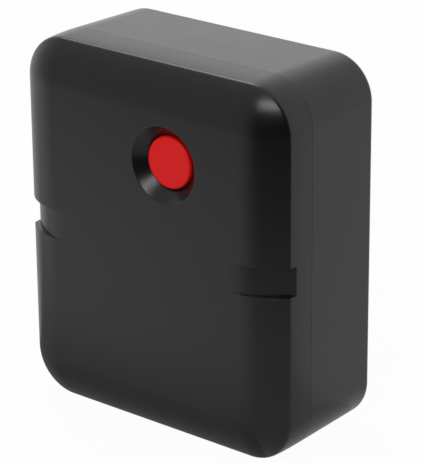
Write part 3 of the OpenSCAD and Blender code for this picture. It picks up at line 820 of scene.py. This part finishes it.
@dataclass(frozen=True)
class CaseScrews:
    """The four machine screws of the back: a flat head with a cross recess, a plain shank and a thread."""

    outline: Outline = Outline()
    face: float = 14.65
    face_points: int = 26
    head_radius: float = 2.8
    head: float = 2.2
    head_round: float = 0.35
    head_steps: int = 5
    cross_length: float = 1.65
    cross_width: float = 0.42
    cross_depth: float = 1.25
    cross_slope: float = 0.16
    cross_taper: float = 0.825
    shank: float = 1.5
    root: float = 1.28
    tip: float = -10.8
    tip_chamfer: float = 0.3
    pitch: float = 0.5
    thread: float = 12.0
    thread_steps: int = 8
    turn_steps: int = 96
    crisp: float = 30.0

    def build(self) -> bpy.types.Object:
        """Makes all four screws in one mesh.

        The cross is cut where a point lies near either of two lines, and gets shallower along each arm. The
        thread's radius rises and falls evenly once in a pitch, and its wave moves on with the angle.

        Returns:
            The screws.
        """
        angle = full_turn(self.turn_steps)
        turn = angle[:, None]
        flat, under = self.head_radius - self.head_round, self.face - self.head
        face = stacked(np.linspace(0, flat, self.face_points), 0.0)
        edge = facing_arc(flat, self.head_round, self.head_round, 0, -90, self.head_steps)[1:]
        radius, drop = np.concatenate([face, edge]).T
        right, up = radius * np.cos(turn), radius * np.sin(turn)
        arm, off = np.maximum(abs(right), abs(up)), np.minimum(abs(right), abs(up))
        wall = np.clip((self.cross_width - off) / self.cross_slope, 0, 1)
        taper = np.clip((self.cross_length - arm) / self.cross_taper, 0, 1)
        depth = drop + self.cross_depth * wall * taper
        start = self.tip + self.thread
        steps = np.arange(self.thread / self.pitch * self.thread_steps) / self.thread_steps
        y = start - steps * self.pitch
        wave = (steps - turn / math.tau) % 1
        ridge = self.root + (self.shank - self.root) * (1 - abs(2 * wave - 1))
        ridge[:, [0, -1]] = self.root
        neck = np.array([[self.head_radius, self.face - self.head_round], [self.head_radius, under],
                         [self.shank, under], [self.shank, start + self.shank - self.root],
                         [self.root, start]])
        end = np.array([[self.root, y[-1]], [self.root - self.tip_chamfer, self.tip], [0.0, self.tip]])
        shell = Shell()
        for x, z in self.outline.screws:
            thread = stacked(x + ridge * np.cos(turn), y, z + ridge * np.sin(turn))
            for patch in (stacked(x + right, self.face - depth, z + up), turned(neck, angle, x, z), thread,
                          turned(end, angle, x, z)):
                shell.add(patch, close_rows=True)
        return shell.build("case_screws_turned", self.crisp)


def cleared(owner: bpy.types.Material | bpy.types.World) -> Tree:
    """Turns on the nodes of a material or world and empties its tree.

    Args:
        owner: The material or world.

    Returns:
        Its empty tree.
    """
    owner.use_nodes = True
    owner.node_tree.nodes.clear()
    return owner.node_tree


def add_node(tree: Tree, kind: str, inputs: dict | None = None, **settings: object) -> bpy.types.Node:
    """Adds a shader node to a tree.

    Args:
        tree: The tree that takes the node.
        kind: The kind of node, as Blender names it after "ShaderNode".
        inputs: Values for its sockets, or other nodes' outputs to link to them, by socket name or number.
        settings: The node's own settings.

    Returns:
        The new node.
    """
    node = tree.nodes.new("ShaderNode" + kind)
    for name, value in settings.items():
        setattr(node, name, value)
    for name, value in (inputs or {}).items():
        if isinstance(value, bpy.types.NodeSocket):
            tree.links.new(value, node.inputs[name])
        else:
            node.inputs[name].default_value = value
    return node


def maths(tree: Tree, operation: str, *values: float | Socket) -> Socket:
    """The result of one operation on the values, in their order."""
    return add_node(tree, "Math", dict(enumerate(values)), operation=operation).outputs[0]


def remap(tree: Tree, value: Socket, span: Pair, to: Pair,
          way: str = "LINEAR") -> Socket:
    """The value carried from one span to another, held at the ends.

    Args:
        tree: The tree that takes the node.
        value: The value.
        span: The two ends that it comes from.
        to: What they become.
        way: Blender's name for the way between them.

    Returns:
        The carried value.
    """
    ends = {"From Min": span[0], "From Max": span[1], "To Min": to[0], "To Max": to[1]}
    return add_node(tree, "MapRange", {"Value": value, **ends}, interpolation_type=way).outputs[0]


def noise(tree: Tree, place: Socket, size: float, detail: float, roughness: float = 0.5) -> Socket:
    """Noise on the coordinates, whose scale is one over a real size in mm."""
    inputs = {"Vector": place, "Scale": 1 / (size * MM), "Detail": detail, "Roughness": roughness}
    return add_node(tree, "TexNoise", inputs).outputs[0]


class Pattern(Enum):
    """How a surface was made, which sets the pattern of its relief."""

    MOULDED = "spark-eroded mould texture"
    BRUSHED = "fine lines along one way"
    ROLLED = "faint rolling lines in plated sheet"
    WOVEN = "glass cloth under a coat"
    SINTERED = "pressed and fired grains"
    SHRUNK = "thin sleeve drawn over a core"


# The width of a line in these patterns over its length
LINE_SHARE = {Pattern.BRUSHED: 0.03, Pattern.ROLLED: 0.12}
# With the grain times this as its size, one wave of the weave is about two grains wide
WEAVE = 6.28
# Slack waves in a sleeve are this many grains wide
SLACK = 12
# How far red, green and blue travel in nylon, over the scatter depth
SCATTER_SPREAD = (1.0, 0.25, 0.2)


@dataclass(frozen=True)
class Finish:
    """One real material with its surface, as a procedural material; lengths in mm."""

    name: str
    colour: str
    shade: str
    roughness: Pair
    pattern: Pattern = Pattern.MOULDED
    metallic: float = 0.0
    ior: float = 1.5
    specular: float = 0.5
    grain: float = 0.3
    relief: float = 0.01
    patch: float = 7.0
    patch_span: Pair = (0.3, 0.7)
    tone_shift: float = -0.1
    coat: float = 0.0
    coat_roughness: float = 0.15
    scatter: float = 0.0
    scatter_depth: float = 0.4

    def height(self, tree: Tree, place: Socket) -> Socket:
        """Adds the pattern of the surface, sized by its grain.

        Args:
            tree: The material's tree.
            place: Object coordinates.

        Returns:
            The height of the relief, over its depth.
        """
        if self.pattern in LINE_SHARE:
            scale = (LINE_SHARE[self.pattern], 1.0, 1.0)
            along = add_node(tree, "Mapping", {"Vector": place, "Scale": scale}).outputs[0]
            return noise(tree, along, self.grain, 3.0)
        if self.pattern is Pattern.WOVEN:
            inputs = {"Vector": place, "Scale": 1 / (self.grain * MM * WEAVE), "Distortion": 0.6,
                      "Detail": 1.0, "Detail Scale": 2.0}
            threads = (add_node(tree, "TexWave", inputs, bands_direction=way) for way in ("X", "Z"))
            return maths(tree, "MAXIMUM", *(thread.outputs[1] for thread in threads))
        if self.pattern is Pattern.SINTERED:
            return add_node(tree, "TexVoronoi", {"Vector": place, "Scale": 1 / (self.grain * MM)}).outputs[0]
        rough = noise(tree, place, self.grain, 3.0, 0.6)
        if self.pattern is Pattern.MOULDED:
            return rough
        return maths(tree, "ADD", rough, noise(tree, place, self.grain * SLACK, 2.0))

    def material(self) -> bpy.types.Material:
        """Makes the material: two close tones and a swing in roughness over patches, and the relief as bump.

        Returns:
            The material.
        """
        made = bpy.data.materials.new(self.name)
        tree = cleared(made)
        place = add_node(tree, "TexCoord").outputs["Object"]
        height = self.height(tree, place)
        patches = noise(tree, place, self.patch, 4.0, 0.55)
        tone = maths(tree, "MULTIPLY_ADD", patches, height, self.tone_shift)
        colour = add_node(tree, "Mix", {0: tone, 6: srgb(self.colour), 7: srgb(self.shade)}, data_type="RGBA")
        bump = add_node(tree, "Bump", {"Height": height, "Distance": self.relief * MM, "Strength": 1.0})
        shader = add_node(tree, "BsdfPrincipled", {
            "Base Color": colour.outputs[2], "Normal": bump.outputs[0],
            "Roughness": remap(tree, patches, self.patch_span, self.roughness),
            "Metallic": self.metallic, "IOR": self.ior, "Specular IOR Level": self.specular})
        extras = {}
        if self.coat:
            extras = {"Coat Weight": self.coat, "Coat Roughness": self.coat_roughness}
        if self.scatter:
            extras = {"Subsurface Weight": self.scatter, "Subsurface Scale": self.scatter_depth * MM,
                      "Subsurface Radius": SCATTER_SPREAD}
        for name, value in extras.items():
            shader.inputs[name].default_value = value
        add_node(tree, "OutputMaterial", {"Surface": shader.outputs[0]})
        return made


BRUSHED = {"pattern": Pattern.BRUSHED, "metallic": 1.0}
ROLLED = {"pattern": Pattern.ROLLED, "metallic": 1.0}

# Each real material, and what it gives the eye
FINISHES: dict[str, Finish] = {
    # ABS moulded in a spark-eroded tool: near black, satin, with a grain that is only just seen
    "housing_black": Finish("matt_black_abs", "#0d0e0f", "#111213", (0.265, 0.295), grain=0.32, relief=0.004,
                            ior=1.46),
    # The same resin in solid red from a smoother tool, so the rim keeps a soft highlight
    "button_red": Finish("satin_red_abs", "#d60b0d", "#cd090b", (0.42, 0.5), specular=0.2, grain=0.4,
                         relief=0.004, patch=3.0),
    # Glass-filled nylon: dark grey, dry, with short fibre streaks near the surface
    "inner_plastic": Finish("glass_filled_nylon", "#26282b", "#33363a", (0.5, 0.65), grain=0.5, relief=0.015),
    # Silicone rubber: soft grey, dull, slightly dusty
    "silicone_grey": Finish("silicone_rubber", "#3a3d42", "#4a4d52", (0.6, 0.75), grain=0.4, relief=0.008,
                            ior=1.42),
    # Bright zinc on turned steel: bluish grey with fine lines
    "steel": Finish("zinc_plated_steel", "#a9adb3", "#8d9299", (0.24, 0.38), grain=0.35, relief=0.006,
                    patch=2.0, **BRUSHED),
    # Tin-plated sheet: pale, softly mirrored, with faint rolling lines
    "tin_plate": Finish("tin_plated_sheet", "#c4c6c4", "#b0b2b0", (0.22, 0.34), relief=0.004, **ROLLED),
    # Turned brass: warm yellow with tool lines
    "brass": Finish("turned_brass", "#b8974e", "#a1813c", (0.26, 0.36), grain=0.25, relief=0.006, **BRUSHED),
    # Hard gold over nickel: deep yellow, smooth
    "gold_plate": Finish("gold_flash_plate", "#d3ab56", "#c29a47", (0.18, 0.28), grain=0.4, relief=0.003,
                         **ROLLED),
    # Glass cloth in epoxy under green resist: the weave shows through a glossy coat
    "board_laminate": Finish("green_resist_laminate", "#1e5b3a", "#174a2f", (0.3, 0.4), Pattern.WOVEN,
                             grain=0.7, relief=0.012, coat=0.5),
    # Fired microwave ceramic: cream, fine pressed grain
    "ceramic": Finish("fired_ceramic", "#d8cdb4", "#c9bda2", (0.45, 0.55), Pattern.SINTERED, grain=0.18),
    # Epoxy moulding compound: charcoal, dry, with fine filler
    "chip_black": Finish("epoxy_moulding_compound", "#202124", "#2b2c30", (0.5, 0.6), grain=0.15,
                         relief=0.006),
    # PVC card stock left plain: white and smooth
    "card_white": Finish("pvc_card_stock", "#d9dbe0", "#cfd1d7", (0.35, 0.42), grain=0.5, relief=0.002,
                         coat=0.2),
    # PVC sleeve shrunk on an aluminium can: dark blue, tight, slightly wavy
    "capacitor_sleeve": Finish("blue_pvc_sleeve", "#2b3a55", "#24324a", (0.25, 0.35), Pattern.SHRUNK,
                               grain=0.4, relief=0.02),
    # Unfilled nylon: milky, lets a little light in
    "connector_nylon": Finish("natural_nylon", "#e8e6dd", "#dcd9cd", (0.4, 0.5), grain=0.5, relief=0.006,
                              scatter=0.3),
    # Silicone-insulated lead: red, soft sheen
    "lead_insulation": Finish("red_lead_insulation", "#b3261e", "#9f1f18", (0.4, 0.5), grain=0.4,
                              relief=0.006),
    # PVC sleeve shrunk on a steel cell: mid blue, glossy, slightly wavy
    "cell_sleeve": Finish("blue_cell_sleeve", "#2d5fa8", "#284f8c", (0.22, 0.32), Pattern.SHRUNK, grain=0.6,
                          relief=0.02, coat=0.3),
}


def sheet(name: str, grid: np.ndarray, paint: bpy.types.Material) -> bpy.types.Object:
    """A sheet of the studio from a grid of points in metres, painted.

    Args:
        name: Name of the sheet.
        grid: Points, rows by columns by 3.
        paint: Its material.

    Returns:
        The sheet.
    """
    mesh = bpy.data.meshes.new(name)
    mesh.from_pydata(grid.reshape(-1, 3), [], grid_quads(*grid.shape[:2]))
    mesh.materials.append(paint)
    return placed(name, mesh)


@dataclass(frozen=True)
class SoftLamp:
    """A softbox: its place, width and height in metres, and the brightness of its face."""

    name: str
    place: Triple
    size: Pair
    brightness: float
    aim: Triple = (0.0, 0.0, 0.035)
    power_factor: float = 4.0

    def hang(self) -> None:
        """Adds the lamp, turned so that its face looks at the aim.

        The face of an area lamp glows at its power over four times its area.
        """
        data = bpy.data.lights.new(self.name, "AREA")
        data.shape = "RECTANGLE"
        data.size, data.size_y = self.size
        data.energy = self.brightness * self.power_factor * self.size[0] * self.size[1]
        lamp = placed(self.name, data)
        lamp.location = self.place
        lamp.rotation_euler = (Vector(self.place) - Vector(self.aim)).to_track_quat("Z", "Y").to_euler()
        lamp.visible_camera = False


@dataclass(frozen=True)
class ReflectionDrape:
    """A sheet that only gloss sees: its glow paints the dark and grey reflections in the front, in metres,
    with azimuths in degrees.

    The fields from centre on are its tones: the left one is given near, a little way out and far, and each
    span says over which distance or azimuth a tone changes.
    """

    span: Pair = (-77.0, 100.0)
    span_steps: int = 60
    start: float = 0.010
    hole: float = 0.001
    reach: float = 0.45
    bend: float = 0.4
    bend_steps: int = 12
    high: float = 1.45
    lift: float = 0.00005
    centre: Pair = (0.026, -0.015)
    left: Triple = (0.20, 0.74, 0.50)
    near_span: Pair = (-0.013, 0.043)
    far_span: Pair = (0.10, 0.15)
    edge_span: Pair = (-64.0, -40.0)
    edge_lift: float = 0.14
    right: Pair = (0.5, 0.0)
    right_span: Pair = (0.05, 0.19)
    turn_span: Pair = (-26.0, 2.0)

    def stand(self) -> None:
        """Hangs the drape: along the floor, then up in a wide curve.

        A point's first parameter is its azimuth about a place under the front, and its second runs out
        along the floor, round a quarter circle and straight up.
        """
        turn = np.radians(np.linspace(0, 90, self.bend_steps + 1))
        out = np.concatenate([[self.hole], self.reach + self.bend * np.sin(turn), [self.reach + self.bend]])
        z = np.concatenate([[0.0], self.bend * (1 - np.cos(turn)), [self.high - self.lift]]) + self.lift
        azimuth = np.radians(np.linspace(*self.span, self.span_steps + 1))[:, None]
        grid = stacked(out * np.sin(azimuth), self.start - out * np.cos(azimuth), z)
        drape = sheet("reflection_only_sheet", grid, self.cloth())
        # Only gloss sees the sheet: it glows, casts no shadow and lights nothing, so its tones are a painted
        # reflection.
        drape.visible_camera = drape.visible_diffuse = drape.visible_shadow = False

    def cloth(self) -> bpy.types.Material:
        """Makes the sheet's glow, which paints the reflections: grey on the left, palest a little way out,
        and darker outwards on the right.

        Returns:
            The material, whose glow depends on azimuth and distance about the drape's centre.
        """
        made = bpy.data.materials.new("painted_reflection_glow")
        tree = cleared(made)
        place = add_node(tree, "TexCoord").outputs["Object"]
        flat = add_node(tree, "VectorMath", {0: place, 1: (1.0, 1.0, 0.0)}, operation="MULTIPLY").outputs[0]
        middle = (*self.centre, 0.0)
        away = add_node(tree, "VectorMath", {0: flat, 1: middle}, operation="SUBTRACT").outputs[0]
        far = add_node(tree, "VectorMath", {0: away}, operation="LENGTH").outputs["Value"]
        part = add_node(tree, "SeparateXYZ", {0: away}).outputs
        front = maths(tree, "MULTIPLY", part[1], -1.0)
        azimuth = maths(tree, "ARCTAN2", part[0], front)

        def ramp(value: Socket, span: Pair, low: float, high: float) -> Socket:
            """A smooth change from one tone to another over a span."""
            return remap(tree, value, span, (low, high), "SMOOTHSTEP")

        edge_span, turn_span = (tuple(map(math.radians, span)) for span in (self.edge_span, self.turn_span))
        near_tone, mid_tone, far_tone = self.left
        drop = maths(tree, "ADD", ramp(front, self.far_span, 0.0, far_tone - mid_tone),
                     ramp(azimuth, edge_span, self.edge_lift, 0.0))
        level = maths(tree, "ADD", drop, mid_tone - near_tone)
        left = maths(tree, "MULTIPLY_ADD", ramp(front, self.near_span, 0.0, 1.0), level, near_tone)
        right = ramp(far, self.right_span, *self.right)
        side = ramp(azimuth, turn_span, 0.0, 1.0)
        tone = add_node(tree, "Mix", {0: side, 2: left, 3: right}, data_type="FLOAT").outputs[0]
        light = add_node(tree, "Emission", {"Strength": tone}).outputs[0]
        add_node(tree, "OutputMaterial", {"Surface": light})
        return made


@dataclass(frozen=True)
class Studio:
    """Pale floor, white surround, softboxes, and the camera where the photograph was taken from."""

    azimuth: float = 39.1885
    elevation: float = 21.7059
    roll: float = -0.5832
    distance: float = 0.48284
    aim: Triple = (0.0, 0.002107, 0.0375)
    lens: float = 193.982
    sensor: float = 36.0
    shift: Pair = (0.02121, -0.01094)
    clip: Pair = (0.01, 20.0)
    floor_half: float = 2.0
    floor_points: int = 17
    floor_colour: str = "#c8c8c8"
    floor_gloss: Pair = (0.27, 0.75)
    floor_blend: Pair = (0.15, 0.9)
    shadow_share: float = 0.035
    white: str = "#ffffff"
    ambient: float = 0.7
    world_gloss: float = 0.5
    # A glowing sheet that only gloss sees: painted reflections in the front
    drape: ReflectionDrape = ReflectionDrape()
    lamps: tuple[SoftLamp, ...] = (
        SoftLamp("softbox_over_camera", (0.25, -0.60, 0.63), (0.6, 0.2), 5.8, (0.01, -0.015, 0.062)),
        SoftLamp("softbox_high_left", (-0.46, 0.2, 0.78), (0.4, 0.3), 3.5, (0.0, 0.0, 0.07)),
        SoftLamp("softbox_behind", (-0.50, 0.62, 0.36), (0.8, 0.6), 0.28),
    )

    def backing(self, tree: Tree, gloss_tone: float | Socket) -> Socket:
        """Adds the test for rays that look at the backdrop directly or in a reflection.

        Args:
            tree: The tree of the floor or the world.
            gloss_tone: How white the backdrop is in gloss or glass.

        Returns:
            1 for a direct look, that tone in gloss or glass, and 0 for the rays that carry light.
        """
        path = add_node(tree, "LightPath").outputs
        gloss = maths(tree, "MAXIMUM", path["Is Glossy Ray"], path["Is Transmission Ray"])
        return maths(tree, "MAXIMUM", path["Is Camera Ray"], maths(tree, "MULTIPLY", gloss, gloss_tone))

    def floor_paint(self) -> bpy.types.Material:
        """Makes the floor's paint: white where it is looked at, less a share that takes the shadow.

        Returns:
            The material, whose reflection gets paler outwards.
        """
        made = bpy.data.materials.new("pale_floor_paint")
        tree = cleared(made)
        lit = add_node(tree, "BsdfDiffuse", {"Color": srgb(self.floor_colour)})
        white = add_node(tree, "Emission", {"Color": srgb(self.white), "Strength": 1.0})
        place = add_node(tree, "TexCoord").outputs["Object"]
        far = add_node(tree, "VectorMath", {0: place}, operation="LENGTH").outputs["Value"]
        seen = self.backing(tree, remap(tree, far, self.floor_blend, self.floor_gloss))
        share = maths(tree, "MULTIPLY", seen, 1 - self.shadow_share)
        mix = add_node(tree, "MixShader", {0: share, 1: lit.outputs[0], 2: white.outputs[0]})
        add_node(tree, "OutputMaterial", {"Surface": mix.outputs[0]})
        return made

    def lay_floor(self) -> None:
        """Lays the floor, a flat square sheet."""
        line = np.linspace(-self.floor_half, self.floor_half, self.floor_points)
        floor = sheet("studio_floor", stacked(line, line[:, None], 0.0), self.floor_paint())

    def light_world(self) -> None:
        """Makes the surround: white where it is seen, and a plain grey light elsewhere."""
        world = bpy.data.worlds.new("white_surround")
        bpy.context.scene.world = world
        tree = cleared(world)
        seen = self.backing(tree, self.world_gloss)
        strength = remap(tree, seen, (0.0, 1.0), (self.ambient, 1.0))
        back = add_node(tree, "Background", {"Color": srgb(self.white), "Strength": strength})
        add_node(tree, "OutputWorld", {"Surface": back.outputs[0]})

    def place_camera(self) -> None:
        """Places the camera on the line of sight that the azimuth, elevation and roll give."""
        azimuth, elevation, roll = map(math.radians, (self.azimuth, self.elevation, self.roll))
        ahead = math.cos(elevation)
        back = Vector((math.sin(azimuth) * ahead, -math.cos(azimuth) * ahead, math.sin(elevation)))
        right = Vector((math.cos(azimuth), math.sin(azimuth), 0.0))
        up = back.cross(right)
        level = right * math.cos(roll) + up * math.sin(roll)
        upright = up * math.cos(roll) - right * math.sin(roll)
        data = bpy.data.cameras.new("camera")
        data.lens = self.lens
        data.sensor_width = self.sensor
        data.shift_x, data.shift_y = self.shift
        data.clip_start, data.clip_end = self.clip
        camera = placed("camera", data)
        turn = Matrix((level, upright, back)).transposed().to_quaternion()
        camera.matrix_world = Matrix.LocRotScale(Vector(self.aim) + back * self.distance, turn, None)
        bpy.context.scene.camera = camera

    def build(self) -> None:
        """Sets up the whole studio."""
        bpy.context.scene.view_settings.view_transform = "Standard"
        self.place_camera()
        self.lay_floor()
        self.drape.stand()
        self.light_world()
        for lamp in self.lamps:
            lamp.hang()
            LOG.info("lamp %s", lamp.name)


@dataclass(frozen=True)
class Tracker:
    """The whole object: the remade pieces that show, and the finish of every other piece."""

    cover: FrontCover = FrontCover()
    housing: RearHousing = RearHousing()
    button: PushButton = PushButton()
    screws: CaseScrews = CaseScrews()

    def remade(self) -> list[tuple[bpy.types.Object, str, str, str]]:
        """Builds the pieces that stand for CAD nodes.

        Returns:
            For each, the piece, its node, its body and its slot.
        """
        return [(self.cover.build(), "front_cover", "housing", "housing_black"),
                (self.housing.build(), "rear_housing", "housing", "housing_black"),
                (self.button.build(), "button_cap", "button", "button_red"),
                (self.screws.build(), "case_screws", "housing", "steel")]

    def build(self) -> None:
        """Builds, dresses and mounts the remade pieces, dresses every other piece, and reports each."""
        finishes = {slot: finish.material() for slot, finish in FINISHES.items()}
        stood_for = set()
        for piece, node, body, slot in self.remade():
            piece.data.materials.append(finishes[slot])
            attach(piece, body)
            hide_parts(node)
            stood_for.add(node)
            LOG.info("%s stands for %s and rides on %s", piece.name, node, body)
        slots = {part["node"]: part["material_slot"] for part in frame["record"]["subparts"]}
        for node, piece in frame["nodes"].items():
            if node not in stood_for:
                self.dress(piece, finishes[slots[node]])
                LOG.info("%s keeps its shape in %s", node, slots[node])

    def dress(self, piece: bpy.types.Object, finish: bpy.types.Material) -> None:
        """Gives a CAD piece its finish, in place of all its material slots.

        Args:
            piece: The piece.
            finish: The finish.
        """
        for place in piece.material_slots:
            place.material = finish
        if not piece.material_slots:
            piece.data.materials.append(finish)


def main() -> None:
    """Builds the studio and the tracker."""
    logging.basicConfig(level=logging.INFO, format="%(message)s")
    Studio().build()
    Tracker().build()


if __name__ == "__main__":
    main()
